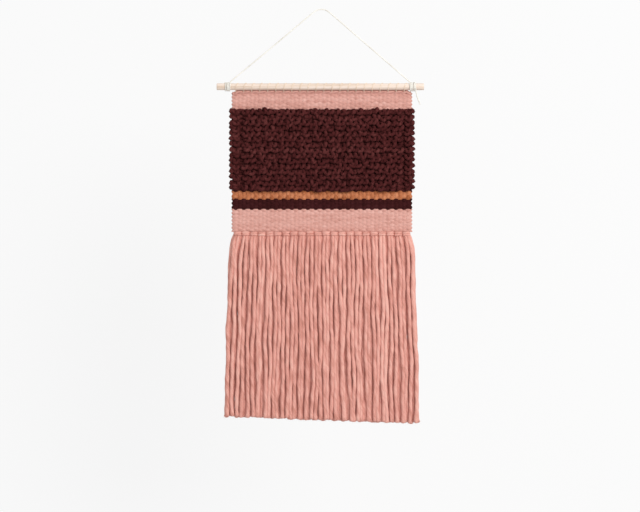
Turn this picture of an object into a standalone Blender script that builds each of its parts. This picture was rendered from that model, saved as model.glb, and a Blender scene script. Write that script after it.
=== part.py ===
"""A tapestry wall hanging: a cotton cord carries a round wooden dowel, and a woven panel hangs on the
dowel by the loops of its own warp. The panel has a top band, a band of looped pile, two stripes, a
lower band and a row of rya knots, and each knot ends in a long tassel of the fringe.

Metres, +Z up, and the front faces -Y. The origin is the underside of the cord at its highest point,
where a hook on a wall carries the whole piece. The warp loops turn on the dowel, so the panel
swings about the dowel's axis, and each tassel swings about a line just under its knot."""

from math import acos, atan2, cos, hypot, pi, radians, sin

import bmesh
import bpy
from mathutils import Vector

MM = 0.001
NAME = "tapestry_wall_hanging"
CLEARANCE = 0.3 * MM  # between neighbours that touch on the real piece

# Dowel
DOWEL_LENGTH = 305.0 * MM
DOWEL_DIAMETER = 10.0 * MM
DOWEL_CHAMFER = 0.6 * MM
DOWEL_SIDES = 32
DOWEL_X = -1.7 * MM  # the cord's highest point isn't quite over the dowel's middle
DOWEL_Z = -112.9 * MM  # the dowel's axis, under the hook

# Hanging cord and its wrapped knots
CORD_DIAMETER = 1.8 * MM
CORD_STEP = 4.5 * MM  # between the points of the finished curve
# The cord's route between its ends on the knots, as (x, z) of its centreline: straight legs that give
# a little, and a short bend over the hook.
CORD_ROUTE_MM = (
    (-100.0, -77.2),
    (-66.0, -48.9),
    (-34.0, -21.9),
    (-17.0, -7.7),
    (-8.0, -1.0),
    (0.0, 0.9),
    (8.0, -1.0),
    (17.0, -8.0),
    (34.0, -22.8),
    (66.0, -50.5),
    (98.0, -78.1),
)
WRAP_GAP = 0.2 * MM  # between the wraps of a knot
KNOT_STEPS = 12  # points in one wrap
LEFT_KNOT_INSET = 11.2 * MM  # from the dowel's end to the knot
LEFT_KNOT_TURNS = 4.0
RIGHT_KNOT_INSET = 11.8 * MM
RIGHT_KNOT_TURNS = 4.25  # it ends at the front, where the spare end hangs down
TAIL_DROP = 24.5 * MM  # from the dowel's axis to the tip of the spare end
TAIL_SLANT = 6.0 * MM
TAIL_CURL = 2.0 * MM  # how far the tip hangs back towards the wall
TAIL_BEND = 0.3  # the share of the slant that it has taken half way down

# Warp: one thread that runs up and down the panel and loops round the dowel
WARP_DIAMETER = 1.5 * MM
WARP_PITCH = 5.9 * MM
WARP_LOOPS = 22  # round the dowel, with two ends each
LOOP_STEPS = 10  # straight pieces in the round part of a loop
BEND_LENGTH = 1.0 * MM  # each side of the corner where a thread leaves the panel

# Panel
PANEL_X = 0.6 * MM
PANEL_Y = 3.2 * MM  # the warp's plane, set so that the panel's weight hangs under the dowel's axis
PANEL_GAP = 4.8 * MM  # from the dowel's underside to the first pick
SELVEDGE = 5.15 * MM  # from the outermost warp end to the panel's edge
PANEL_THICKNESS = 5.7 * MM
TOP_BAND_HEIGHT = 24.0 * MM
PILE_ROWS = 15
PILE_ROW_HEIGHT = 8.0 * MM
RUST_HEIGHT = 11.5 * MM
STRIPE_HEIGHT = 15.0 * MM
LOWER_BAND_HEIGHT = 32.5 * MM

# Looped pile
PILE_OVERHANG = 7.0 * MM  # past each edge of the panel
PILE_DEPTH = 9.8 * MM
PILE_ROUNDING = 2.4 * MM

# Rya knots and tassels
KNOT_ROW_HEIGHT = 8.0 * MM
KNOT_ROW_DEPTH = 11.0 * MM
KNOT_ROW_Y = 0.7 * MM
KNOT_ROW_FLOOR = 1.5 * MM  # under the warp's last turns
TASSEL_DEPTH = 12.0 * MM
TASSEL_LENGTH_LEFT = 258.0 * MM  # from the tassel's hinge line to its cut end
TASSEL_LENGTH_RIGHT = 267.5 * MM
FRINGE_FLARE = radians(1.7)  # how far the outermost tassels lean outwards
TASSEL_TOP_STEPS = 8

PILE_HEIGHT = PILE_ROWS * PILE_ROW_HEIGHT
PANEL_TOP = DOWEL_Z - DOWEL_DIAMETER / 2 - PANEL_GAP
KNOT_ROW_TOP = PANEL_TOP - TOP_BAND_HEIGHT - PILE_HEIGHT - RUST_HEIGHT - STRIPE_HEIGHT - LOWER_BAND_HEIGHT
KNOT_ROW_BOTTOM = KNOT_ROW_TOP - KNOT_ROW_HEIGHT
SLOT_THICKNESS = WARP_DIAMETER + 2 * CLEARANCE
WARP_ENDS = 2 * WARP_LOOPS
WARP_SPAN = (WARP_ENDS - 1) * WARP_PITCH
SLOT_WIDTH = WARP_SPAN + WARP_DIAMETER + 2 * CLEARANCE
PANEL_WIDTH = WARP_SPAN + 2 * SELVEDGE
PILE_WIDTH = PANEL_WIDTH + 2 * PILE_OVERHANG
KNOT_PITCH = CORD_DIAMETER + WRAP_GAP
# The wrap of each knot that the cord's leg runs into. The others lie outwards of it.
LEFT_KNOT_X = DOWEL_X - DOWEL_LENGTH / 2 + LEFT_KNOT_INSET + CORD_DIAMETER / 2 + LEFT_KNOT_TURNS * KNOT_PITCH
RIGHT_KNOT_X = DOWEL_X + DOWEL_LENGTH / 2 - RIGHT_KNOT_INSET - CORD_DIAMETER / 2 - RIGHT_KNOT_TURNS * KNOT_PITCH
TASSEL_PITCH = 2 * WARP_PITCH
TASSEL_WIDTH = TASSEL_PITCH - CLEARANCE
TASSEL_HINGE_Z = KNOT_ROW_BOTTOM - TASSEL_DEPTH / 2


def clear_scene():
    for thing in list(bpy.data.objects):
        bpy.data.objects.remove(thing, do_unlink=True)


def make_material(name, colour, roughness):
    material = bpy.data.materials.new(name)
    material.use_nodes = True
    shader = material.node_tree.nodes["Principled BSDF"]
    shader.inputs["Base Color"].default_value = (*colour, 1.0)
    shader.inputs["Roughness"].default_value = roughness
    shader.inputs["Metallic"].default_value = 0.0
    return material


def make_collection(name):
    collection = bpy.data.collections.new(name)
    bpy.context.scene.collection.children.link(collection)
    return collection


def place(name, data, collection, material=None, parent=None, location=(0.0, 0.0, 0.0)):
    """Adds data to a collection as an object at a place in its parent's frame."""
    thing = bpy.data.objects.new(name, data)
    thing.parent = parent
    thing.location = location
    if material:
        data.materials.append(material)
    collection.objects.link(thing)
    return thing


def make_tube(name, points, diameter, resolution):
    """A round tube with filled ends along a list of points."""
    curve = bpy.data.curves.new(name, "CURVE")
    curve.dimensions = "3D"
    curve.bevel_depth = diameter / 2
    curve.bevel_resolution = resolution
    curve.use_fill_caps = True
    spline = curve.splines.new("POLY")
    spline.points.add(len(points) - 1)
    for point, place_of_it in zip(spline.points, points):
        point.co = (*place_of_it, 1.0)
    return curve


def make_prism(name, outlines, height):
    """A flat outline, with a hole if there is a second one, made into a solid of this height."""
    curve = bpy.data.curves.new(name, "CURVE")
    curve.dimensions = "2D"
    curve.fill_mode = "BOTH"
    curve.extrude = height / 2
    for outline in outlines:
        spline = curve.splines.new("POLY")
        spline.points.add(len(outline) - 1)
        for point, (x, y) in zip(spline.points, outline):
            point.co = (x, y, 0.0, 1.0)
        spline.use_cyclic_u = True
    return curve


def make_box(name, size):
    """A box with its middle at the origin."""
    mesh = bpy.data.meshes.new(name)
    shape = bmesh.new()
    bmesh.ops.create_cube(shape, size=1.0)
    bmesh.ops.scale(shape, vec=size, verts=shape.verts)
    shape.to_mesh(mesh)
    shape.free()
    return mesh


def add_bevel(thing, width, segments):
    bevel = thing.modifiers.new("rounding", "BEVEL")
    bevel.width = width
    bevel.segments = segments
    bevel.limit_method = "ANGLE"


def shade_smooth(thing):
    thing.data.shade_smooth()
    thing.data.set_sharp_from_angle(angle=radians(35))


def stadium(width, depth, steps=6):
    """An outline with straight long sides and round ends."""
    radius = depth / 2
    middle = width / 2 - radius
    outline = []
    for side, start in ((1, -pi / 2), (-1, pi / 2)):
        for i in range(steps + 1):
            angle = start + pi * i / steps
            outline.append((side * middle + radius * cos(angle), radius * sin(angle)))
    return outline


def catmull_rom(p0, p1, p2, p3, t):
    return 0.5 * (
        2 * p1 + (p2 - p0) * t + (2 * p0 - 5 * p1 + 4 * p2 - p3) * t**2 + (3 * p1 - p0 - 3 * p2 + p3) * t**3
    )


def smooth_route(points, step):
    """Points about a step apart on a smooth curve through the given ones."""
    ends = [2 * points[0] - points[1], *points, 2 * points[-1] - points[-2]]
    route = []
    for i in range(len(points) - 1):
        pieces = max(1, round((points[i + 1] - points[i]).length / step))
        route += [catmull_rom(*ends[i : i + 4], t / pieces) for t in range(pieces)]
    return [*route, points[-1]]


def rounded_corner(before, corner, after, reach, steps=3):
    """Points that take a corner in a bend that starts and ends this far from it."""
    start = corner + (before - corner).normalized() * reach
    end = corner + (after - corner).normalized() * reach
    return [
        start * (1 - t) ** 2 + corner * 2 * t * (1 - t) + end * t**2
        for t in (i / steps for i in range(steps + 1))
    ]


def around_dowel(x, angle, radius):
    """A point at an angle round the dowel's axis: 0 is the back, 90 degrees the top, 180 the front."""
    return Vector((x, radius * cos(angle), DOWEL_Z + radius * sin(angle)))


def wrap_radius():
    """The radius of the points of a wrap, set so that its straight pieces clear the dowel."""
    return (DOWEL_DIAMETER / 2 + CLEARANCE + CORD_DIAMETER / 2) / cos(pi / KNOT_STEPS)


def cord_end(knot_x):
    """Where a leg of the cord ends, on top of its knot's first wrap."""
    return Vector((knot_x, 0.0, DOWEL_Z + wrap_radius() + CORD_DIAMETER + CLEARANCE))


def knot_route(first_x, side, turns):
    """A helix round the dowel that starts at the top, goes over the front and works outwards."""
    count = round(turns * KNOT_STEPS)
    return [
        around_dowel(
            first_x + side * KNOT_PITCH * i / KNOT_STEPS,
            pi / 2 + 2 * pi * i / KNOT_STEPS,
            wrap_radius(),
        )
        for i in range(count + 1)
    ]


def tail_route(start):
    """The cord's spare end, from the front of the dowel down to its tip."""
    tip = Vector((start.x + TAIL_SLANT, start.y + TAIL_CURL, DOWEL_Z - TAIL_DROP))
    middle = Vector((start.x + TAIL_BEND * TAIL_SLANT, start.y, (start.z + tip.z) / 2))
    return smooth_route([start, middle, tip], CORD_STEP / 2)


def warp_x(end):
    return PANEL_X - WARP_SPAN / 2 + end * WARP_PITCH


def loop_over_dowel(end):
    """The thread from one warp end, up the front of the dowel, over it and down into the next end."""
    front_x, back_x = warp_x(end), warp_x(end + 1)
    radius = DOWEL_DIAMETER / 2 + CLEARANCE + WARP_DIAMETER / 2
    mouth_y, mouth_z = PANEL_Y, PANEL_TOP + WARP_DIAMETER / 2
    reach = hypot(mouth_y, mouth_z - DOWEL_Z)
    down = atan2(mouth_z - DOWEL_Z, mouth_y)
    spread = acos(radius / reach)
    front_angle, back_angle = down - spread, down + spread
    turn = front_angle + 2 * pi - back_angle
    half_step = turn / LOOP_STEPS / 2
    arc = [
        around_dowel(
            front_x + (back_x - front_x) * i / LOOP_STEPS,
            front_angle - turn * i / LOOP_STEPS,
            radius / cos(half_step),
        )
        for i in range(LOOP_STEPS + 1)
    ]
    front_mouth = Vector((front_x, mouth_y, mouth_z))
    back_mouth = Vector((back_x, mouth_y, mouth_z))
    below = Vector((0.0, 0.0, -WARP_PITCH))
    rise = rounded_corner(front_mouth + below, front_mouth, arc[0], BEND_LENGTH)
    fall = rounded_corner(arc[-1], back_mouth, back_mouth + below, BEND_LENGTH)
    return [*rise, *arc, *fall]


def turn_at_foot(end, steps=5):
    """The half circle that takes the thread from one warp end to the next at the panel's foot."""
    radius = WARP_PITCH / 2
    middle = Vector(((warp_x(end) + warp_x(end + 1)) / 2, PANEL_Y, warp_foot()))
    return [
        middle + Vector((-radius * cos(pi * i / steps), 0.0, -radius * sin(pi * i / steps)))
        for i in range(steps + 1)
    ]


def warp_foot():
    """Where the warp's straight part ends, so that its turns clear the knot row's floor."""
    slot_floor = KNOT_ROW_BOTTOM + CLEARANCE + KNOT_ROW_FLOOR
    return slot_floor + CLEARANCE + WARP_DIAMETER / 2 + WARP_PITCH / 2


def warp_route():
    route = [Vector((warp_x(0), PANEL_Y, warp_foot()))]
    for loop in range(WARP_LOOPS):
        route += loop_over_dowel(2 * loop)
        if loop < WARP_LOOPS - 1:
            route += turn_at_foot(2 * loop + 1)
    return [*route, Vector((warp_x(WARP_ENDS - 1), PANEL_Y, warp_foot()))]


def build_hanger(parts, wood, cotton):
    bpy.ops.mesh.primitive_cylinder_add(
        vertices=DOWEL_SIDES,
        radius=DOWEL_DIAMETER / 2,
        depth=DOWEL_LENGTH,
        location=(DOWEL_X, 0.0, DOWEL_Z),
        rotation=(0.0, pi / 2, 0.0),
    )
    dowel = bpy.context.object
    dowel.name = dowel.data.name = "dowel"
    dowel.data.materials.append(wood)
    for collection in list(dowel.users_collection):
        collection.objects.unlink(dowel)
    parts.objects.link(dowel)
    add_bevel(dowel, DOWEL_CHAMFER, 1)
    shade_smooth(dowel)

    between = [Vector((x * MM, 0.0, z * MM)) for x, z in CORD_ROUTE_MM]
    route = smooth_route([cord_end(LEFT_KNOT_X), *between, cord_end(RIGHT_KNOT_X)], CORD_STEP)
    place("hanging_cord", make_tube("hanging_cord", route, CORD_DIAMETER, 2), parts, cotton)

    left = knot_route(LEFT_KNOT_X, -1, LEFT_KNOT_TURNS)
    place("cord_knot_left", make_tube("cord_knot_left", left, CORD_DIAMETER, 2), parts, cotton)
    right = knot_route(RIGHT_KNOT_X, 1, RIGHT_KNOT_TURNS)
    right += tail_route(right[-1])[1:]
    place("cord_knot_right", make_tube("cord_knot_right", right, CORD_DIAMETER, 2), parts, cotton)


def build_bands(parts, hinge, band_materials):
    """The woven bands, each a flat sleeve of weft that the warp runs through."""
    outer = stadium(PANEL_WIDTH, PANEL_THICKNESS)
    slot = stadium(SLOT_WIDTH, SLOT_THICKNESS)
    top = PANEL_TOP
    for name, height, material in band_materials:
        solid_height = height - CLEARANCE
        middle = Vector((PANEL_X, PANEL_Y, top - solid_height / 2))
        place(name, make_prism(name, (outer, slot), solid_height), parts, material, hinge, middle - hinge.location)
        top -= height


def build_pile(parts, hinge, material):
    """The rows of looped pile, which stand on the front of their ground band."""
    front_of_ground = PANEL_Y - PANEL_THICKNESS / 2
    size = (PILE_WIDTH, PILE_DEPTH, PILE_ROW_HEIGHT - CLEARANCE)
    for row in range(PILE_ROWS):
        name = f"pile_row_{row + 1:02d}"
        top = PANEL_TOP - TOP_BAND_HEIGHT - row * PILE_ROW_HEIGHT
        middle = Vector((PANEL_X, front_of_ground - CLEARANCE - PILE_DEPTH / 2, top - size[2] / 2))
        thing = place(name, make_box(name, size), parts, material, hinge, middle - hinge.location)
        add_bevel(thing, PILE_ROUNDING, 2)


def build_knot_row(parts, cutters, hinge, material):
    """The row of rya knots, with a blind slot for the warp's last turns."""
    height = KNOT_ROW_HEIGHT - CLEARANCE
    middle = Vector((PANEL_X, KNOT_ROW_Y, KNOT_ROW_TOP - height / 2))
    outline = stadium(PANEL_WIDTH, KNOT_ROW_DEPTH)
    bar = place("rya_knot_row", make_prism("knot_outline", (outline,), height), parts)
    slot_middle = Vector((PANEL_X, PANEL_Y, middle.z + KNOT_ROW_FLOOR))
    cutter = place("warp_slot_cutter", make_box("warp_slot", (SLOT_WIDTH, SLOT_THICKNESS, height)), cutters)
    cutter.location = slot_middle
    cutter.hide_render = True
    cutter.display_type = "WIRE"

    bpy.context.view_layer.update()
    mesh = bpy.data.meshes.new_from_object(bar.evaluated_get(bpy.context.evaluated_depsgraph_get()))
    bpy.data.objects.remove(bar, do_unlink=True)
    shape = bmesh.new()
    shape.from_mesh(mesh)
    bmesh.ops.remove_doubles(shape, verts=shape.verts, dist=1e-6)
    bmesh.ops.recalc_face_normals(shape, faces=shape.faces)
    shape.to_mesh(mesh)
    shape.free()
    knot_row = place("rya_knot_row", mesh, parts, material, hinge, middle - hinge.location)
    cut = knot_row.modifiers.new("warp slot", "BOOLEAN")
    cut.operation = "DIFFERENCE"
    cut.object = cutter


def tassel_outline(length):
    """Seen from the side: straight sides to the cut end, and a round top about the hinge line."""
    radius = TASSEL_DEPTH / 2
    outline = [
        (radius * cos(pi * i / TASSEL_TOP_STEPS), radius * sin(pi * i / TASSEL_TOP_STEPS))
        for i in range(TASSEL_TOP_STEPS + 1)
    ]
    return [*outline, (-radius, -length), (radius, -length)]


def build_fringe(parts, panel_hinge, material):
    """One tassel under each rya knot, leaning outwards more towards the sides."""
    for k in range(WARP_LOOPS):
        name = f"tassel_{k + 1:02d}"
        share = k / (WARP_LOOPS - 1)
        length = TASSEL_LENGTH_LEFT + (TASSEL_LENGTH_RIGHT - TASSEL_LENGTH_LEFT) * share
        x = PANEL_X + (k - (WARP_LOOPS - 1) / 2) * TASSEL_PITCH
        hinge = bpy.data.objects.new(f"{name}_hinge", None)
        parts.objects.link(hinge)
        hinge.parent = panel_hinge
        hinge.location = Vector((x, KNOT_ROW_Y, TASSEL_HINGE_Z)) - panel_hinge.location
        tassel = place(name, make_prism(name, (tassel_outline(length),), TASSEL_WIDTH), parts, material, hinge)
        tassel.rotation_mode = "XZY"
        tassel.rotation_euler = (pi / 2, FRINGE_FLARE * (1 - 2 * share), pi / 2)


def build():
    clear_scene()
    parts = make_collection(NAME)
    cutters = make_collection("cutters")
    wood = make_material("dowel_wood", (0.82, 0.66, 0.52), 0.55)
    cotton = make_material("cotton_cord", (0.84, 0.80, 0.73), 0.9)
    warp_cotton = make_material("cotton_warp", (0.82, 0.74, 0.62), 0.9)
    pink = make_material("pink_wool", (0.70, 0.35, 0.29), 0.95)
    burgundy = make_material("burgundy_wool", (0.055, 0.014, 0.015), 0.95)
    rust = make_material("rust_wool", (0.58, 0.19, 0.085), 0.95)

    build_hanger(parts, wood, cotton)
    panel_hinge = bpy.data.objects.new("panel_hinge", None)
    panel_hinge.location = (PANEL_X, 0.0, DOWEL_Z)
    parts.objects.link(panel_hinge)
    warp = make_tube("warp_thread", [p - panel_hinge.location for p in warp_route()], WARP_DIAMETER, 1)
    place("warp_thread", warp, parts, warp_cotton, panel_hinge)
    bands = (
        ("weft_top_pink", TOP_BAND_HEIGHT, pink),
        ("weft_pile_ground", PILE_HEIGHT, burgundy),
        ("weft_rust_stripe", RUST_HEIGHT, rust),
        ("weft_burgundy_stripe", STRIPE_HEIGHT, burgundy),
        ("weft_lower_pink", LOWER_BAND_HEIGHT, pink),
    )
    build_bands(parts, panel_hinge, bands)
    build_pile(parts, panel_hinge, burgundy)
    build_knot_row(parts, cutters, panel_hinge, pink)
    build_fringe(parts, panel_hinge, pink)


build()
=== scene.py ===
"""The looks of a tapestry wall hanging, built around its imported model.

Every yarn is real geometry. The cords, the warp, the pile and the fringe are swept tubes, and the woven
bands are sheets whose surface follows each pick of weft over and under the warp. Metres, +Z up; the
front faces -Y."""

from math import acos, atan2, cos, hypot, pi, radians, sin

import bmesh
import bpy
import numpy as np
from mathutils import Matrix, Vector


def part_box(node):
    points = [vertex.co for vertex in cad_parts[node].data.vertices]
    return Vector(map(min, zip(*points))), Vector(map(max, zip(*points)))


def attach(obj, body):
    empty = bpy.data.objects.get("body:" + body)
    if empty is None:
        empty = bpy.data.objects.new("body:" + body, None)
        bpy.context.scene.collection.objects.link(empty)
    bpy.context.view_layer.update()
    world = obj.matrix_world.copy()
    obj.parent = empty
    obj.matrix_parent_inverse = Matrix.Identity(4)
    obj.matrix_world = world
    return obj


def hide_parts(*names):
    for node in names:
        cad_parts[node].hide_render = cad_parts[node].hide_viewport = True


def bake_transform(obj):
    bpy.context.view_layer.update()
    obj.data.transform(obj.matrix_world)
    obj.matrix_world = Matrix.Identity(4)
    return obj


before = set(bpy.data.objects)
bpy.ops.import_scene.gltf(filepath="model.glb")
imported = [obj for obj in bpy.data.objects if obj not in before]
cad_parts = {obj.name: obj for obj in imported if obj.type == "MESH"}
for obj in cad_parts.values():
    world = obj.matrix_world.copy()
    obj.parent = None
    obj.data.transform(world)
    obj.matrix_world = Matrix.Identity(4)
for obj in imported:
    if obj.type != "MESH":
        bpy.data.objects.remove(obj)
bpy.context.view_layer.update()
MM = 0.001

# The frame's own places
DOWEL_LOW, DOWEL_HIGH = (np.array(corner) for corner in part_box("dowel"))
DOWEL_Z = (DOWEL_LOW[2] + DOWEL_HIGH[2]) / 2
DOWEL_RADIUS = (DOWEL_HIGH[2] - DOWEL_LOW[2]) / 2
BAND_BOX = {
    name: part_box(name)
    for name in (
        "weft_top_pink",
        "weft_pile_ground",
        "weft_rust_stripe",
        "weft_burgundy_stripe",
        "weft_lower_pink",
        "rya_knot_row",
    )
}
PANEL_LOW, PANEL_HIGH = BAND_BOX["weft_top_pink"]
PANEL_X = (PANEL_LOW[0] + PANEL_HIGH[0]) / 2
PANEL_Y = (PANEL_LOW[1] + PANEL_HIGH[1]) / 2
PANEL_TOP = PANEL_HIGH[2]
PANEL_HALF = (PANEL_HIGH[0] - PANEL_LOW[0]) / 2
SOLID_GAP = 0.3 * MM  # what the solids leave between neighbours that touch
SELVEDGE_PROUD = 1.2 * MM  # how far the weft's turns bulge beyond the solids

# Yarns
WARP_DIAMETER = 1.3 * MM
WARP_FLATNESS = 0.5  # the pull of the weave presses the thread against the rod
WARP_PITCH = 5.9 * MM
WARP_LOOPS = 22
WARP_ENDS = 2 * WARP_LOOPS
LOOP_PITCH = 2 * WARP_PITCH
CORD_DIAMETER = 1.8 * MM
FIBRE_WIDTH = 0.12 * MM
WARP_X0 = PANEL_X - (WARP_ENDS - 1) * WARP_PITCH / 2

rng = np.random.default_rng(20)


# ---------------------------------------------------------------- geometry


def unit(vectors):
    return vectors / np.maximum(np.linalg.norm(vectors, axis=-1, keepdims=True), 1e-12)


def smooth_path(points, step):
    """Points about a step apart on a Catmull-Rom curve through the given ones."""
    points = np.asarray(points, float)
    ends = np.vstack([2 * points[0] - points[1], points, 2 * points[-1] - points[-2]])
    made = []
    for i in range(len(points) - 1):
        p0, p1, p2, p3 = ends[i : i + 4]
        pieces = max(1, round(np.linalg.norm(p2 - p1) / step))
        t = (np.arange(pieces) / pieces)[:, None]
        made.append(
            0.5
            * (
                2 * p1
                + (p2 - p0) * t
                + (2 * p0 - 5 * p1 + 4 * p2 - p3) * t**2
                + (3 * p1 - p0 - 3 * p2 + p3) * t**3
            )
        )
    return np.vstack([*made, points[-1:]])


def arc_length(path):
    return np.concatenate([[0.0], np.cumsum(np.linalg.norm(np.diff(path, axis=0), axis=1))])


def carried_normals(tangents, first):
    """Normals that turn as little as they can along a path."""
    normals = np.empty_like(tangents)
    normal = np.asarray(first, float)
    for i, tangent in enumerate(tangents):
        normal = normal - tangent * (normal @ tangent)
        normal = normal / max(np.linalg.norm(normal), 1e-12)
        normals[i] = normal
    return normals


class Yarns:
    """Collects swept tubes into one mesh. Each vertex knows its place in its own straightened yarn
    (the yarn attribute) and the tone of its yarn (the tone attribute), which the materials read."""

    def __init__(self):
        self.points, self.quads, self.caps, self.places, self.tones = [], [], [], [], []
        self.count = 0

    def add(self, points, quads, caps, places, tone):
        self.points.append(points.reshape(-1, 3))
        self.quads.append(np.asarray(quads).reshape(-1, 4) + self.count)
        self.caps += [[int(v) + self.count for v in cap] for cap in caps]
        self.places.append(places.reshape(-1, 3))
        self.tones.append(np.broadcast_to(tone, points.shape[:-1]).reshape(-1))
        self.count += points.size // 3

    def sweep(
        self,
        path,
        radius,
        sides=10,
        lobes=0,
        lobe_depth=0.0,
        twist=0.0,
        squash=1.0,
        first=(0, 1, 0),
        tone=0.0,
    ):
        """A tube along a path. lobes are the plies that show on its surface, twist is how far they turn
        in a metre, and squash makes the tube flatter along its first normal."""
        path = np.asarray(path, float)
        radius = np.broadcast_to(np.asarray(radius, float), (len(path),)).copy()
        tangents = unit(np.gradient(path, axis=0))
        # Two more rings at each end round it off.
        head, tail = tangents[0] * radius[0], tangents[-1] * radius[-1]
        before = [path[0] - head * 0.45, path[0] - head * 0.3]
        after = [path[-1] + tail * 0.3, path[-1] + tail * 0.45]
        path = np.vstack([*before, path, *after])
        narrowing = np.array([0.4, 0.75])
        radius = np.concatenate([radius[0] * narrowing, radius, radius[-1] * narrowing[::-1]])
        tangents = np.vstack([tangents[:1], tangents[:1], tangents, tangents[-1:], tangents[-1:]])
        normals = carried_normals(tangents, first)
        sideways = np.cross(tangents, normals)
        along = arc_length(path)[:, None]
        angle = np.arange(sides) / sides * 2 * pi
        ply_angle = angle + twist * along
        across = radius[:, None] * (1 + lobe_depth * np.cos(lobes * ply_angle))
        points = (
            path[:, None, :]
            + (across * np.cos(angle))[..., None] * normals[:, None, :] * squash
            + (across * np.sin(angle))[..., None] * sideways[:, None, :]
        )
        start = np.full(across.shape, rng.uniform(0, 10))
        places = np.stack([along + start, across * np.cos(ply_angle), across * np.sin(ply_angle)], -1)
        i, j = np.meshgrid(np.arange(len(path) - 1), np.arange(sides), indexing="ij")
        nxt = (j + 1) % sides
        quads = np.stack([i * sides + j, i * sides + nxt, (i + 1) * sides + nxt, (i + 1) * sides + j], -1)
        last = (len(path) - 1) * sides
        self.add(points, quads, [range(sides)[::-1], range(last, last + sides)], places, tone)

    def fuzz(self, path, radius, count, reach, lean=0.7, tone=0.06):
        """Loose three-sided fibres that stand off a yarn's surface and curl over. A tone above their yarn's
        is painted highlight, for the light that loose fibres catch.
        """
        path = np.asarray(path, float)
        radius = np.broadcast_to(np.asarray(radius, float), (len(path),))
        at = rng.integers(0, len(path), count)
        tangent = unit(np.gradient(path, axis=0))[at]
        out = unit(np.cross(tangent, rng.normal(size=(count, 3))))
        heading = unit(out + lean * rng.uniform(-1, 1, (count, 1)) * tangent)
        curl = unit(rng.normal(size=(count, 3)))
        t = np.linspace(0, 1, 4)[:, None, None]
        length = reach * rng.uniform(0.4, 1.0, (count, 1))
        line = path[at] + out * radius[at, None] * 0.92 + length * (heading * t + 0.5 * curl * t**2)
        side = unit(np.cross(heading, curl))
        other = np.cross(heading, side)
        thick = FIBRE_WIDTH / 2 * (1 - 0.6 * t)
        rings = [line + thick * (side * cos(a) + other * sin(a)) for a in (0, 2 * pi / 3, 4 * pi / 3)]
        points = np.stack(rings, axis=2).transpose(1, 0, 2, 3)
        ring = [
            [i + j, i + (j + 1) % 3, i + 3 + (j + 1) % 3, i + 3 + j] for i in (0, 3, 6) for j in range(3)
        ]
        quads = np.array(ring)[None] + 12 * np.arange(count)[:, None, None]
        self.add(points, quads, [], points.copy(), tone)

    def build(self, name, material, body=None, nodes=()):
        mesh = bpy.data.meshes.new(name)
        faces = np.vstack(self.quads).tolist() + self.caps
        mesh.from_pydata(np.vstack(self.points).tolist(), [], faces)
        places = mesh.attributes.new("yarn", "FLOAT_VECTOR", "POINT")
        places.data.foreach_set("vector", np.vstack(self.places).astype(np.float32).ravel())
        tones = mesh.attributes.new("tone", "FLOAT", "POINT")
        tones.data.foreach_set("value", np.concatenate(self.tones).astype(np.float32))
        mesh.materials.append(material)
        mesh.shade_smooth()
        return add_piece(name, mesh, body, nodes)


def add_piece(name, mesh, body=None, nodes=()):
    piece = bpy.data.objects.new(name, mesh)
    bpy.context.scene.collection.objects.link(piece)
    if body:
        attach(piece, body)
    if nodes:
        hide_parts(*nodes)
    return piece


# ---------------------------------------------------------------- materials


def add_node(tree, kind, inputs=None, **settings):
    """Adds a shader node. A value in inputs is a number, a colour or the output socket that feeds it."""
    node = tree.nodes.new(kind)
    for key, value in settings.items():
        setattr(node, key, value)
    for key, value in (inputs or {}).items():
        if isinstance(value, bpy.types.NodeSocket):
            tree.links.new(value, node.inputs[key])
        else:
            node.inputs[key].default_value = value
    return node


def start_material(name):
    material = bpy.data.materials.new(name)
    material.use_nodes = True
    return material, material.node_tree, material.node_tree.nodes["Principled BSDF"]


def add_ramp(tree, factor, stops):
    node = add_node(tree, "ShaderNodeValToRGB", {"Fac": factor})
    ramp = node.color_ramp
    while len(ramp.elements) < len(stops):
        ramp.elements.new(0.5)
    for element, (position, colour) in zip(ramp.elements, stops):
        element.position = position
        element.color = (*colour, 1.0)
    return node.outputs["Color"]


def stretched(tree, scale):
    """The yarn's own coordinates, scaled along it and across it."""
    place = add_node(tree, "ShaderNodeAttribute", attribute_name="yarn")
    mapping = add_node(tree, "ShaderNodeMapping", {"Vector": place.outputs["Vector"], "Scale": scale})
    return mapping.outputs["Vector"]


def add_noise(tree, vector, detail, **inputs):
    """Noise over coordinates that are already scaled."""
    inputs = {"Vector": vector, "Scale": 1.0, "Detail": detail, **inputs}
    return add_node(tree, "ShaderNodeTexNoise", inputs).outputs["Fac"]


def calculate(tree, operation, *values):
    inputs = dict(enumerate(values))
    return add_node(tree, "ShaderNodeMath", inputs, operation=operation).outputs["Value"]


def add_bump(tree, shader, height, strength, distance):
    bump = add_node(
        tree, "ShaderNodeBump", {"Height": height, "Strength": strength, "Distance": distance}
    )
    tree.links.new(bump.outputs["Normal"], shader.inputs["Normal"])


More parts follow.
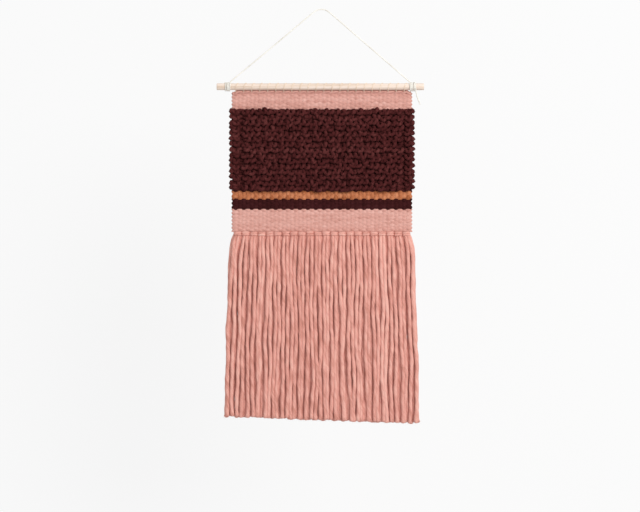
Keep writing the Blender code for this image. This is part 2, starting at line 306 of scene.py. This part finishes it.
def yarn_material(
    name, dark, middle, light, sheen=0.3, contrast=1.0, along=110, across=1500, bump_mm=0.6
):
    """A spun yarn: fine fibres that run along it, slubs of colour, and a soft sheen from the fuzz. along
    and across are how many fibres' worth of noise fit in a metre."""
    material, tree, shader = start_material(name)
    fibres = add_noise(tree, stretched(tree, (along, across, across)), 4.0, Roughness=0.6)
    slubs = add_noise(tree, stretched(tree, (35, 120, 120)), 2.0)
    tone = add_node(tree, "ShaderNodeAttribute", attribute_name="tone")
    mixed = calculate(tree, "MULTIPLY", fibres, 0.55)
    mixed = calculate(tree, "MULTIPLY_ADD", slubs, 0.45, mixed)
    mixed = calculate(tree, "ADD", mixed, tone.outputs["Fac"])
    stops = ((0.5 - 0.12 / contrast, dark), (0.5, middle), (0.5 + 0.13 / contrast, light))
    tree.links.new(add_ramp(tree, mixed, stops), shader.inputs["Base Color"])
    add_bump(tree, shader, fibres, 0.8, bump_mm * MM)
    shader.inputs["Roughness"].default_value = 0.95
    shader.inputs["Sheen Weight"].default_value = sheen
    shader.inputs["Sheen Roughness"].default_value = 0.5
    shader.inputs["Sheen Tint"].default_value = (*light, 1.0)
    shader.inputs["Specular IOR Level"].default_value = 0.1
    return material


def wood_material():
    """Pale sanded wood: long grain streaks, fine pores and a slightly darker tone in the early wood."""
    material, tree, shader = start_material("dowel_wood")
    place = add_node(tree, "ShaderNodeTexCoord").outputs["Object"]
    long_grain = add_node(tree, "ShaderNodeMapping", {"Vector": place, "Scale": (6, 260, 260)})
    grain = add_noise(tree, long_grain.outputs["Vector"], 5.0, Roughness=0.55)
    pores = add_node(tree, "ShaderNodeMapping", {"Vector": place, "Scale": (90, 1900, 1900)})
    mixed = calculate(tree, "MULTIPLY_ADD", add_noise(tree, pores.outputs["Vector"], 3.0), 0.3, grain)
    stops = ((0.45, (0.58, 0.43, 0.32)), (0.62, (0.745, 0.605, 0.505)), (0.85, (0.82, 0.70, 0.62)))
    tree.links.new(add_ramp(tree, mixed, stops), shader.inputs["Base Color"])
    add_bump(tree, shader, mixed, 0.5, 0.1 * MM)
    shader.inputs["Roughness"].default_value = 0.55
    return material


def wall_material():
    """A plain bright wall, which shows from its front only so that a view from behind isn't blocked. It
    glows a little, as a wall in a light room does, so the shadow on it stays faint."""
    material, tree, shader = start_material("plain_wall")
    shader.inputs["Base Color"].default_value = (0.12, 0.12, 0.12, 1.0)
    shader.inputs["Emission Color"].default_value = (1.0, 1.0, 1.0, 1.0)
    shader.inputs["Emission Strength"].default_value = 0.83
    shader.inputs["Roughness"].default_value = 1.0
    shader.inputs["Specular IOR Level"].default_value = 0.0
    side = add_node(tree, "ShaderNodeNewGeometry")
    clear = add_node(tree, "ShaderNodeBsdfTransparent")
    mix = add_node(
        tree,
        "ShaderNodeMixShader",
        {0: side.outputs["Backfacing"], 1: shader.outputs["BSDF"], 2: clear.outputs["BSDF"]},
    )
    tree.links.new(mix.outputs["Shader"], tree.nodes["Material Output"].inputs["Surface"])
    return material


PINK = yarn_material(
    "pink_wool", (0.46, 0.21, 0.17), (0.615, 0.317, 0.267), (0.71, 0.41, 0.355), contrast=0.7
)
FRINGE_PINK = yarn_material(
    "pink_roving",
    (0.53, 0.222, 0.175),
    (0.70, 0.332, 0.275),
    (0.78, 0.43, 0.36),
    sheen=0.1,
    along=80,
    across=1100,
    bump_mm=0.9,
)
BURGUNDY = yarn_material(
    "burgundy_wool",
    (0.018, 0.003, 0.003),
    (0.037, 0.006, 0.006),
    (0.058, 0.013, 0.014),
    sheen=0.03,
    contrast=0.8,
)
PILE_BURGUNDY = yarn_material(
    "burgundy_pile_wool", (0.03, 0.005, 0.005), (0.068, 0.012, 0.012), (0.115, 0.03, 0.028), sheen=0.08
)
RUST = yarn_material("rust_wool", (0.30, 0.09, 0.035), (0.46, 0.157, 0.067), (0.60, 0.24, 0.12))
WARP_COTTON = yarn_material(
    "cotton_warp",
    (0.56, 0.42, 0.31),
    (0.75, 0.60, 0.475),
    (0.84, 0.72, 0.60),
    sheen=0.1,
    along=300,
    across=2600,
    bump_mm=0.15,
)
COTTON = yarn_material(
    "cotton_cord",
    (0.64, 0.60, 0.54),
    (0.80, 0.765, 0.70),
    (0.88, 0.86, 0.81),
    sheen=0.1,
    along=260,
    across=2400,
    bump_mm=0.15,
)
WOOD = wood_material()


# ---------------------------------------------------------------- dowel and cord


def around_dowel(x, angle, radius):
    """A point at an angle round the dowel's axis: 0 is the back, a quarter turn the top."""
    return np.array([x, radius * cos(angle), DOWEL_Z + radius * sin(angle)])


def build_dowel():
    """The rod, turned about X, with eased edges and the faint waviness of sanded wood."""
    sides, body_rings = 72, 90
    ease = 0.8 * MM  # how far the edge at each end is rounded
    left, right = DOWEL_LOW[0], DOWEL_HIGH[0]
    stations = [(left, 0.0), (left, 0.5), (left + 0.02 * ease, 1 - 0.7 * ease / DOWEL_RADIUS)]
    stations += [(left + 0.3 * ease, 1 - 0.25 * ease / DOWEL_RADIUS), (left + ease, 1.0)]
    middle = [(x, 1.0) for x in np.linspace(left + ease, right - ease, body_rings)[1:-1]]
    mirrored = [(left + right - x, share) for x, share in reversed(stations)]
    rings = [*stations[1:], *middle, *mirrored[:-1]]
    angle = np.arange(sides) / sides * 2 * pi
    points = []
    for x, share in rings:
        wave = 1 - 0.004 * (1 + np.sin(2 * angle + 40 * x) * np.sin(31 * x))
        reach = DOWEL_RADIUS * share * wave
        around = [np.full(sides, x), -reach * np.cos(angle), DOWEL_Z + reach * np.sin(angle)]
        points.append(np.stack(around, -1))
    points = np.array(points)
    i, j = np.meshgrid(np.arange(len(rings) - 1), np.arange(sides), indexing="ij")
    nxt = (j + 1) % sides
    quads = np.stack([i * sides + j, (i + 1) * sides + j, (i + 1) * sides + nxt, i * sides + nxt], -1)
    caps = [tuple(range(sides)), tuple(range((len(rings) - 1) * sides, len(rings) * sides))[::-1]]
    mesh = bpy.data.meshes.new("dowel_rod")
    mesh.from_pydata(points.reshape(-1, 3).tolist(), [], quads.reshape(-1, 4).tolist() + caps)
    mesh.materials.append(WOOD)
    mesh.shade_smooth()
    mesh.set_sharp_from_angle(angle=radians(50))
    piece = add_piece("dowel_rod", mesh, "hanger", ("dowel",))


# Where the cord hangs between its knots, as places across and up from where it is hung
CORD_ROUTE_MM = (
    (-100.0, -77.2),
    (-66.0, -48.9),
    (-34.0, -21.9),
    (-17.0, -7.7),
    (-8.0, -1.0),
    (0.0, 0.9),
    (8.0, -1.0),
    (17.0, -8.0),
    (34.0, -22.8),
    (66.0, -50.5),
    (98.0, -78.1),
)
CORD_PLIES = dict(sides=18, lobes=3, lobe_depth=0.13, twist=2 * pi / (7 * MM))
LEFT_KNOT, RIGHT_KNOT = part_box("cord_knot_left"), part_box("cord_knot_right")
KNOT_PITCH = 2.0 * MM
LEFT_KNOT_X = LEFT_KNOT[1][0] - CORD_DIAMETER / 2
RIGHT_KNOT_X = RIGHT_KNOT[0][0] + CORD_DIAMETER / 2
WRAP_RADIUS = DOWEL_RADIUS + 0.05 * MM + CORD_DIAMETER / 2
POINTS_A_TURN = 24
LEFT_TURNS, RIGHT_TURNS = 4.0, 4.25
WRAP_JITTER = 0.12  # how far a turn strays, as a share of the pitch


def wraps(first_x, side, turns):
    """The cord's turns round the dowel, which start on top, go over the front and work outwards."""
    made = []
    for i in range(int(turns * POINTS_A_TURN) + 1):
        turn = i / POINTS_A_TURN
        x = first_x + side * KNOT_PITCH * (turn + WRAP_JITTER * sin(2 * pi * turn * 0.37 + first_x * 50))
        made.append(around_dowel(x, pi / 2 + 2 * pi * turn, WRAP_RADIUS))
    return made


def build_cord():
    top = DOWEL_Z + WRAP_RADIUS + CORD_DIAMETER * 0.9
    between = [(x * MM, 0.0, z * MM) for x, z in CORD_ROUTE_MM]
    route = smooth_path([(LEFT_KNOT_X, 0.0, top), *between, (RIGHT_KNOT_X, 0.0, top)], 0.7 * MM)
    yarns = Yarns()
    yarns.sweep(route, CORD_DIAMETER / 2, **CORD_PLIES)
    cord = yarns.build("hanging_cord_twisted", COTTON, "hanger", ("hanging_cord",))

    yarns = Yarns()
    left = [route[0] + 0.6 * MM * unit(route[1] - route[0]), *wraps(LEFT_KNOT_X, -1, LEFT_TURNS)[2:]]
    yarns.sweep(smooth_path(left, 0.9 * MM), CORD_DIAMETER / 2, **CORD_PLIES)
    left_knot = yarns.build("cord_wraps_left", COTTON, "hanger", ("cord_knot_left",))

    yarns = Yarns()
    right = [route[-1] + 0.6 * MM * unit(route[-2] - route[-1]), *wraps(RIGHT_KNOT_X, 1, RIGHT_TURNS)[2:]]
    last = right[-1]
    tip = np.array([RIGHT_KNOT[1][0] - 0.8 * MM, last[1] + 2 * MM, RIGHT_KNOT[0][2] + 0.4 * MM])
    middle = np.array([last[0] + 0.3 * (tip[0] - last[0]), last[1], (last[2] + tip[2]) / 2])
    yarns.sweep(smooth_path([*right, middle, tip], 0.9 * MM), CORD_DIAMETER / 2, **CORD_PLIES)
    # The cut end opens into its plies.
    down = unit(tip - middle)
    for k in range(3):
        turn = 2 * pi * k / 3
        out = np.array([cos(turn), sin(turn), 0.0]) * 0.9 * MM
        stages = ((-1.5, 0.3), (0.5, 0.7), (2.2, 1.5))
        ply = smooth_path([tip + down * drop * MM + out * apart for drop, apart in stages], 0.5 * MM)
        yarns.sweep(ply, np.linspace(0.5, 0.3, len(ply)) * MM, sides=8)
    right_knot = yarns.build("cord_wraps_right", COTTON, "hanger", ("cord_knot_right",))


# ---------------------------------------------------------------- warp


def warp_x(end):
    return WARP_X0 + end * WARP_PITCH


def warp_loop(end):
    """The thread from one warp end up the front of the dowel, over it and down into the next end."""
    radius = DOWEL_RADIUS + 0.03 * MM + WARP_FLATNESS * WARP_DIAMETER / 2
    mouth_z = PANEL_TOP + 0.5 * MM
    reach = hypot(PANEL_Y, mouth_z - DOWEL_Z)
    down = atan2(mouth_z - DOWEL_Z, PANEL_Y)
    spread = acos(radius / reach)
    front_angle, back_angle = down - spread, down + spread
    turn = front_angle + 2 * pi - back_angle
    steps = 26
    lean = rng.uniform(-0.25, 0.25) * MM
    arc = [
        around_dowel(
            warp_x(end) + WARP_PITCH * (0.5 - 0.5 * cos(pi * i / steps)) + lean * sin(pi * i / steps),
            front_angle - turn * i / steps,
            radius,
        )
        for i in range(steps + 1)
    ]
    front, back = (np.array([warp_x(e), PANEL_Y, mouth_z]) for e in (end, end + 1))
    below = np.array([0, 0, -4 * MM])
    ease = 0.35
    rise = [front + 2 * below, front + below, front - (front - arc[0]) * ease + below * 0.1]
    fall = [back - (back - arc[-1]) * ease + below * 0.1, back + below, back + 2 * below]
    return smooth_path([*rise, *arc, *fall], 0.55 * MM)


def build_warp():
    """The loops over the dowel at full detail, and the long runs inside the weft."""
    foot = BAND_BOX["rya_knot_row"][0][2] + 5.5 * MM
    run_points = 11
    yarns = Yarns()
    plies = dict(sides=12, lobes=2, lobe_depth=0.1, twist=2 * pi / (5 * MM), squash=WARP_FLATNESS)
    for loop in range(WARP_LOOPS):
        path = warp_loop(2 * loop)
        first, last = path[0], path[-1]
        heights = np.linspace(foot, first[2], run_points + 1)[:-1]
        up = np.array([(first[0], first[1], z) for z in heights])
        down = np.array([(last[0], last[1], z) for z in heights[::-1]])
        yarns.sweep(np.vstack([up, path, down]), WARP_DIAMETER / 2, **plies)
    for end in range(1, WARP_ENDS - 1, 2):
        middle = np.array([(warp_x(end) + warp_x(end + 1)) / 2, PANEL_Y, foot])
        half = WARP_PITCH / 2
        turn = [middle + np.array([-half * cos(a), 0, -half * sin(a)]) for a in np.linspace(0, pi, 9)]
        yarns.sweep(turn, WARP_DIAMETER / 2, sides=8)
    warp = yarns.build("warp_thread_plied", WARP_COTTON, "panel", ("warp_thread",))


def build_header():
    """Two strands that twine round each pair of warp ends above the first pick, with one behind them. All
    of them turn down at the selvedges, clear of the cord's knots."""
    past_warp, radius = 4.6 * MM, 1.5 * MM
    x = np.arange(warp_x(0) - past_warp, warp_x(WARP_ENDS - 1) + past_warp, 0.8 * MM)
    from_edge = PANEL_HALF - np.abs(x - PANEL_X)
    drop = 2.6 * MM * np.clip((7.4 * MM - from_edge) / (4 * MM), 0, 1)
    turn = pi * (x - warp_x(0) - WARP_PITCH / 2) / LOOP_PITCH
    plies = dict(sides=12, lobes=2, lobe_depth=0.1, twist=2 * pi / (8 * MM), first=(0, 0, 1))
    yarns = Yarns()
    for phase in (0, pi):
        depth = PANEL_Y - 0.7 * MM - 1.9 * MM * np.cos(turn + phase)
        height = PANEL_TOP + 2.0 * MM + 0.7 * MM * np.sin(turn + phase) - drop
        yarns.sweep(np.stack([x, depth, height], -1), radius, tone=-0.01, **plies)
    wander = 0.25 * MM * np.sin(x * 300)
    behind = np.stack([x, PANEL_Y + 0.4 * MM + wander, PANEL_TOP + 3.9 * MM + wander - drop], -1)
    yarns.sweep(behind, radius, **plies)
    header = yarns.build("header_twist", PINK, "panel")
    return header


# ---------------------------------------------------------------- woven bands


CREASE_POWER = 14  # how sharp the creases between picks are


def build_band(name, node, material, slot, picks, swing, rib, first_pick, rows, columns_per_end):
    """A weft-faced band. Its surface is the outermost of its picks at each place: each pick goes over one
    warp end and under the next, is pressed flat against its neighbours, and turns back at the selvedge.
    swing is how far a pick moves forward and back, and rib how far the warp pushes it out."""
    low, high = BAND_BOX[node]
    top, bottom = high[2], low[2] - SOLID_GAP
    pitch = (top - bottom) / picks
    half_height = pitch * 1.15
    half_depth = 2.45 * MM - swing
    floor = 1.0 * MM  # the least that the surface stands off the panel's middle

    # Columns: even between the outermost warp ends, then round the edge
    inner = np.arange((WARP_ENDS - 1) * columns_per_end + 1) / columns_per_end
    edge = np.array([0.22, 0.42, 0.6, 0.75, 0.87, 0.95, 1.0])
    outside = np.concatenate([-edge[::-1], np.zeros(len(inner)), edge])
    phase = np.concatenate([-edge[::-1], inner, WARP_ENDS - 1 + edge])
    round_off = np.sqrt(1 - outside**2)
    columns = np.clip(WARP_X0 + phase * WARP_PITCH, WARP_X0, warp_x(WARP_ENDS - 1))
    selvedge = PANEL_HALF + SELVEDGE_PROUD - (WARP_ENDS - 1) * WARP_PITCH / 2
    ribs = rib * np.cos(2 * pi * phase) * (outside == 0)

    # Rows run a little past the band, so that its first and last picks overlap the next band's
    z = np.linspace(top + 0.3 * pitch, bottom - 0.3 * pitch, picks * rows + 1)[:, None]
    pick = np.arange(picks)[:, None, None]
    own = rng.uniform(0, 2 * pi, (3, picks, 1, 1))
    drift = 0.24 * np.sin(phase * 0.31 + own[0]) + 0.18 * np.sin(phase * 0.83 + own[1])
    at_border = (pick == 0) | (pick == picks - 1)
    centre = top - (pick + 0.5) * pitch + np.where(at_border, 0, drift * MM)
    crown = half_depth * np.sqrt(np.clip(1 - ((z - centre) / half_height) ** 2, 0, 1))
    over = np.where(at_border, 1.7, 1.0) * swing * np.cos(pi * phase) * (-1.0) ** (first_pick + pick)
    shade = rng.normal(0, 0.02, (picks, 1, 1)) + 0.03 * np.sin(phase * 0.4 + own[2])
    shift = rng.uniform(0, 10, (picks, 1, 1))

    points, places, tones = [], [], []
    for side in (1, -1):
        heights = np.where(crown > 0, np.maximum(crown + side * over, 0), 0) / MM
        seen = heights.argmax(axis=0)[None]
        # A high power mean rounds the creases, as the wool's own spring does.
        rounded = (heights**CREASE_POWER).sum(axis=0) ** (1 / CREASE_POWER) * MM * 0.985
        out = np.maximum(rounded + ribs, floor)
        out[0], out[-1] = side * over[0, 0], side * over[-1, 0]
        out = out * round_off
        bulge = 0.72 + 0.28 * np.abs(np.cos(pi * (z - top) / (2 * pitch)))
        x = columns + outside * selvedge * bulge
        along = x + np.take_along_axis(np.broadcast_to(shift, heights.shape), seen, 0)[0]
        across = z - np.take_along_axis(np.broadcast_to(centre, heights.shape), seen, 0)[0]
        points.append(np.stack([x, PANEL_Y - side * out, np.broadcast_to(z, x.shape)], -1))
        places.append(np.stack([along, across, out], -1))
        tones.append(np.take_along_axis(np.broadcast_to(shade, heights.shape), seen, 0)[0])
    rings, count = points[0].shape[:2]
    i, j = np.meshgrid(np.arange(rings - 1), np.arange(count - 1), indexing="ij")
    a, b, c, d = i * count + j, (i + 1) * count + j, (i + 1) * count + j + 1, i * count + j + 1
    yarns = Yarns()
    for turn, *sheet in zip(((a, b, c, d), (a, d, c, b)), points, places, tones):
        yarns.add(sheet[0], np.stack(turn, -1), [], sheet[1], sheet[2])
    piece = yarns.build(name, material, "panel", (node,))
    weld(piece.data)
    return piece, (2 * (PANEL_HALF + SELVEDGE_PROUD), top - bottom)


def weld(mesh, distance=1e-6):
    """Joins points that lie in one place, so that front and back close into one surface."""
    shape = bmesh.new()
    shape.from_mesh(mesh)
    bmesh.ops.remove_doubles(shape, verts=shape.verts, dist=distance)
    bmesh.ops.dissolve_degenerate(shape, edges=shape.edges, dist=distance)
    bmesh.ops.recalc_face_normals(shape, faces=shape.faces)
    shape.to_mesh(mesh)
    shape.free()
    mesh.shade_smooth()


# ---------------------------------------------------------------- pile


PILE_ROWS = 15
LOOPS_IN_ROW = 32
LOOP_YARN = 2.6 * MM  # the radius of the pile's yarn
EDGE_HEADINGS = ((1.2, 1.5), (0.5, 0.9))  # how far the outermost loop and the next one lean outwards

# A loop of the pile, as places along it, across it and out from the ground, all in mm
LOOP_SHAPE = np.array(
    [
        (0.0, -1.7, 0.0),
        (1.6, -2.7, 2.2),
        (4.0, -3.2, 4.3),
        (6.3, -2.2, 5.6),
        (7.2, 0.0, 6.1),
        (6.3, 2.2, 5.8),
        (4.0, 3.2, 4.4),
        (1.6, 2.7, 2.3),
        (0.0, 1.7, 0.0),
    ]
)


def pile_loop(x, z, heading, length, width, reach):
    """One loop of the pile, which stands out from between two warp ends and falls towards its heading,
    an angle from straight down."""
    along, across, out = (LOOP_SHAPE * (length, width, reach) * MM).T
    # The yarn goes in and comes out level, however the loop itself leans.
    turned = heading * np.clip(out / out.max() * 1.4, 0, 1)
    front = BAND_BOX["weft_pile_ground"][0][1]
    return np.stack(
        [
            x + across * np.cos(turned) + along * np.sin(turned),
            front + 0.8 * MM - out,
            z - along * np.cos(turned) + across * np.sin(turned),
        ],
        -1,
    )


def build_pile_row(row):
    """One row of loops, all of one yarn, which lies behind its loops between them. Most of them slant."""
    node = f"pile_row_{row + 1:02d}"
    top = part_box(node)[1][2]
    last = row == PILE_ROWS - 1
    stray = 0.8 if row == 0 or last else 1.5
    roots = PANEL_X + np.linspace(-1, 1, LOOPS_IN_ROW) * (PANEL_HALF - 3 * MM)
    roots[1:-1] += rng.uniform(-1.5, 1.5, LOOPS_IN_ROW - 2) * MM + (1.2 if row % 2 else -1.2) * MM
    roots[1], roots[-2] = roots[0] + 3.5 * MM, roots[-1] - 3.5 * MM
    path = []
    for j, root in enumerate(roots):
        heading = np.clip(rng.normal(0.7, 0.5), -0.6, 1.6)
        from_edge = min(j, LOOPS_IN_ROW - 1 - j)
        if from_edge < 2:
            heading = rng.uniform(*EDGE_HEADINGS[from_edge]) * (1 if root > PANEL_X else -1)
        path += list(
            pile_loop(
                x=root,
                z=top - 1.6 * MM + rng.uniform(-1.0, 1.0) * stray * MM,
                heading=heading,
                length=0.75 if from_edge == 0 else rng.uniform(0.4, 0.7 if last else 0.95),
                width=0.5 if from_edge == 0 else rng.uniform(0.85, 1.2),
                reach=rng.uniform(0.8, 1.15),
            )
        )
    path = smooth_path(path, 1.2 * MM)
    along = arc_length(path)
    thick = LOOP_YARN * (1 + 0.07 * np.sin(along * 420 + row) + 0.05 * np.sin(along * 1130 + 2 * row))
    yarns = Yarns()
    tone = rng.normal(0, 0.02)
    yarns.sweep(path, thick, sides=12, lobes=2, lobe_depth=0.2, twist=2 * pi / (9 * MM), tone=tone)
    # The fibres are a tone lighter than their yarn: painted highlight, the light that loose fibres catch.
    yarns.fuzz(path, thick, 800, 2.2 * MM, tone=tone + 0.1)
    piece = yarns.build(f"pile_loops_{row + 1:02d}", PILE_BURGUNDY, "panel", (node,))
    return piece


# ---------------------------------------------------------------- rya knots and fringe


KNOT_LOW, KNOT_HIGH = BAND_BOX["rya_knot_row"]
KNOT_BOTTOM = KNOT_LOW[2] - SOLID_GAP
KNOT_FRONT = KNOT_LOW[1]
BAR_RADIUS = 1.95 * MM
FRINGE_RADIUS = 2.9 * MM


def build_knots():
    """A bar of two strands over each pair of warp ends, whose ends go round behind and come out below."""
    yarns = Yarns()
    height = KNOT_HIGH[2] - KNOT_BOTTOM
    half = LOOP_PITCH / 2 - 1.4 * MM
    for k in range(WARP_LOOPS):
        x = PANEL_X + (k - (WARP_LOOPS - 1) / 2) * LOOP_PITCH
        for share in (0.72, 0.40):
            z = KNOT_BOTTOM + height * share + rng.uniform(-0.45, 0.45) * MM
            front = KNOT_FRONT + 2.2 * MM + rng.uniform(-0.2, 0.2) * MM
            tilt = rng.uniform(-0.3, 0.3) * MM
            route = [
                (x - 1.0 * MM, PANEL_Y + 1.2 * MM, z - 2.0 * MM),
                (x - half * 0.8, PANEL_Y + 1.6 * MM, z - 0.8 * MM),
                (x - half, PANEL_Y - 0.8 * MM, z),
                (x - half * 0.8, front + 0.8 * MM, z + tilt),
                (x, front - 0.2 * MM, z + 0.3 * MM),
                (x + half * 0.8, front + 0.8 * MM, z - tilt),
                (x + half, PANEL_Y - 0.8 * MM, z),
                (x + half * 0.8, PANEL_Y + 1.6 * MM, z - 0.8 * MM),
                (x + 1.0 * MM, PANEL_Y + 1.2 * MM, z - 2.0 * MM),
            ]
            path = smooth_path(route, 1.0 * MM)
            tone = rng.normal(0.01, 0.03)
            plies = dict(sides=12, lobes=2, lobe_depth=0.05, twist=2 * pi / (22 * MM), first=(0, 0, 1))
            yarns.sweep(path, BAR_RADIUS, tone=tone, **plies)
            # The fibres are a tone lighter than their yarn: painted highlight, the light that loose fibres
            # catch.
            yarns.fuzz(path, BAR_RADIUS, 30, 2.0 * MM, tone=tone + 0.06)
    # Behind the bars, the yarn passes from each knot to the next.
    x = np.arange(PANEL_X - PANEL_HALF + 3 * MM, PANEL_X + PANEL_HALF - 2 * MM, 1.5 * MM)
    for share in (0.72, 0.34):
        bend = 0.5 * MM * np.sin(x * 2 * pi / LOOP_PITCH + share)
        level = np.full(len(x), KNOT_BOTTOM + height * share)
        path = np.stack([x, PANEL_Y + 0.8 * MM + bend, level], -1)
        yarns.sweep(path, 2.0 * MM, sides=12, first=(0, 0, 1))
    knots = yarns.build("rya_knots", FRINGE_PINK, "panel", ("rya_knot_row",))
    return knots


def field(x, z, seed):
    """A slow sideways drift that neighbouring strands share."""
    return (
        np.sin(x * 38 + z * 21 + seed)
        + 0.6 * np.sin(x * 95 - z * 37 + 2.1 * seed)
        + 0.35 * np.sin(x * 190 + z * 55 + 3.7 * seed)
    )


# The strands under one knot: each one's lane across and behind the front, in mm, and its own width
STRANDS = ((-2.9, 2.75, 1.0), (2.9, 2.75, 1.0), (-4.5, 7.9, 1.05), (0.0, 8.3, 1.08), (4.5, 7.9, 1.05))


def build_tassel(k):
    """Five strands under one knot: two in front and three behind them, each with its own slow waves."""
    node = f"tassel_{k + 1:02d}"
    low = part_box(node)[0]
    middle = (WARP_LOOPS - 1) / 2
    top_x = PANEL_X + (k - middle) * LOOP_PITCH
    top_z = KNOT_BOTTOM + 2.5 * MM
    lean = (k - middle) / middle * 7.5 * MM
    yarns = Yarns()
    for lane, behind, width in STRANDS:
        in_front = behind < 5
        length = top_z - low[2] + rng.uniform(-1.8, 0.6) * MM
        depth = np.linspace(0, length, int(length / (3.0 * MM)))
        t = depth / length
        z = top_z - depth
        spread = 1 - np.exp(-depth / (13 * MM))
        edge = np.sign(k - middle) * (abs(k - middle) / middle) ** 6 * 4.5 * MM * spread
        drift = field(top_x + lane * MM, z, 0.7 if in_front else 4.1)
        own = rng.uniform(0, 2 * pi, 4)
        waves = np.sin(z * 36 + own[0]) + 0.55 * np.sin(z * 88 + own[1])
        waves = waves + 0.2 * np.sin(z * 240 + own[2])
        tilt = rng.normal(0, 1.5) * t
        own_way = tilt + 0.95 * waves if in_front else 0.3 * waves
        loose = (0.62 * drift + own_way) * MM * np.clip(depth / (25 * MM), 0, 1)
        gathered = 0.62 + 0.38 * spread if in_front else 1.0
        x = top_x + lean * t**0.8 + lane * MM * gathered + edge + loose
        y_top, y_home = (4.3, behind) if in_front else (6.9, behind)
        y = KNOT_FRONT + (y_top + (y_home - y_top) * spread) * MM + 0.5 * MM * np.sin(z * 70 + own[3]) * t
        slub = 1 + 0.08 * np.sin(z * 150 + own[1]) + 0.05 * np.sin(z * 410 + own[0])
        radius = FRINGE_RADIUS * width * slub * (0.78 + 0.22 * spread) * rng.uniform(0.95, 1.05)
        radius = radius * (1 + 0.10 * np.exp(-(length - depth) / (7 * MM)))
        path = np.stack([x, y, z], -1)
        tone = rng.normal(0.0, 0.03)
        turns = 2 * pi / (rng.uniform(26, 38) * MM)
        yarns.sweep(path, radius, sides=12, lobes=2, lobe_depth=0.05, twist=turns, tone=tone)
        # The fibres are a tone lighter than their yarn: painted highlight, the light that loose fibres
        # catch.
        yarns.fuzz(path, radius, 110, 2.4 * MM, tone=tone + 0.06)
        cut_end = path[-1:] + [[0, 0, 1.5 * MM], [0, 0, 0.2 * MM]]
        yarns.fuzz(cut_end, radius[-1] * 0.9, 60, 3.2 * MM, lean=2.5, tone=tone)
    piece = yarns.build(f"tassel_strands_{k + 1:02d}", FRINGE_PINK, None, (node,))
    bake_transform(piece)
    return piece


# ---------------------------------------------------------------- stage, light and camera


FRAME_WIDTH = 0.9416  # what the picture's width covers at the object
CAMERA_PLACE = (-0.0022, -3.4, -0.3619)  # level, a little over half way down the hanging


WALL_Y = 0.56  # behind the rod, past the tip of the fringe when the panel swings straight back


def build_stage():
    wall = bpy.data.meshes.new("wall")
    corners = [(x, WALL_Y, z) for x, z in ((-6, -5), (6, -5), (6, 4), (-6, 4))]
    wall.from_pydata(corners, [], [(0, 1, 2, 3)])
    wall.materials.append(wall_material())
    thing = bpy.data.objects.new("wall", wall)
    bpy.context.scene.collection.objects.link(thing)


WINDOW_PLACE, WINDOW_TARGET = (1.35, -2.3, 0.6), (0.0, 0.0, -0.3)
WINDOW_SIZE, WINDOW_POWER = 1.5, 56


def build_light():
    """A soft even room, and a wide disc of light from the front and right."""
    world = bpy.data.worlds.new("soft_room")
    world.use_nodes = True
    background = world.node_tree.nodes["Background"]
    background.inputs["Color"].default_value = (0.97, 0.985, 1.0, 1.0)
    background.inputs["Strength"].default_value = 0.70
    bpy.context.scene.world = world
    lamp = bpy.data.lights.new("window", "AREA")
    lamp.shape = "DISK"
    lamp.size = WINDOW_SIZE
    lamp.energy = WINDOW_POWER
    lamp.color = (1.0, 0.99, 0.97)
    thing = bpy.data.objects.new("window", lamp)
    thing.location = WINDOW_PLACE
    towards = Vector(WINDOW_TARGET) - Vector(WINDOW_PLACE)
    thing.rotation_euler = towards.to_track_quat("-Z", "Y").to_euler()
    bpy.context.scene.collection.objects.link(thing)
    bpy.context.scene.view_settings.view_transform = "Standard"


def build_camera():
    camera = bpy.data.cameras.new("camera")
    camera.sensor_width = 36.0
    camera.lens = camera.sensor_width * -CAMERA_PLACE[1] / FRAME_WIDTH
    camera.clip_end = 50
    thing = bpy.data.objects.new("camera", camera)
    thing.location = CAMERA_PLACE
    thing.rotation_euler = (pi / 2, 0, 0)
    bpy.context.scene.collection.objects.link(thing)
    bpy.context.scene.camera = thing


# ---------------------------------------------------------------- making it


build_camera()
build_light()
build_stage()
build_cord()
build_dowel()
build_warp()
# Each band: its name, its solid, its yarn and slot, its picks, and how far they swing and its ribs stand out
BANDS = (
    ("top_band", "weft_top_pink", PINK, "pink_wool", 9, 0.4 * MM, 0.2 * MM),
    ("pile_ground", "weft_pile_ground", PILE_BURGUNDY, "burgundy_wool", 36, 0.7 * MM, 0.3 * MM),
    ("rust_stripe", "weft_rust_stripe", RUST, "rust_wool", 3, 0.62 * MM, 0.4 * MM),
    ("burgundy_stripe", "weft_burgundy_stripe", BURGUNDY, "burgundy_wool", 5, 0.6 * MM, 0.35 * MM),
    ("lower_band", "weft_lower_pink", PINK, "pink_wool", 12, 0.4 * MM, 0.2 * MM),
)
bands, picks_so_far = {}, 0
for band in BANDS:
    rows, columns = (4, 4) if band[0] == "pile_ground" else (8, 6)
    bands[band[0]] = build_band(*band, first_pick=picks_so_far, rows=rows, columns_per_end=columns)
    picks_so_far += band[4]
pile = [build_pile_row(row) for row in range(PILE_ROWS)]
knots = build_knots()
fringe = [build_tassel(k) for k in range(WARP_LOOPS)]
ON_BAND = {"top_band": [build_header()], "pile_ground": pile, "lower_band": [knots, *fringe]}
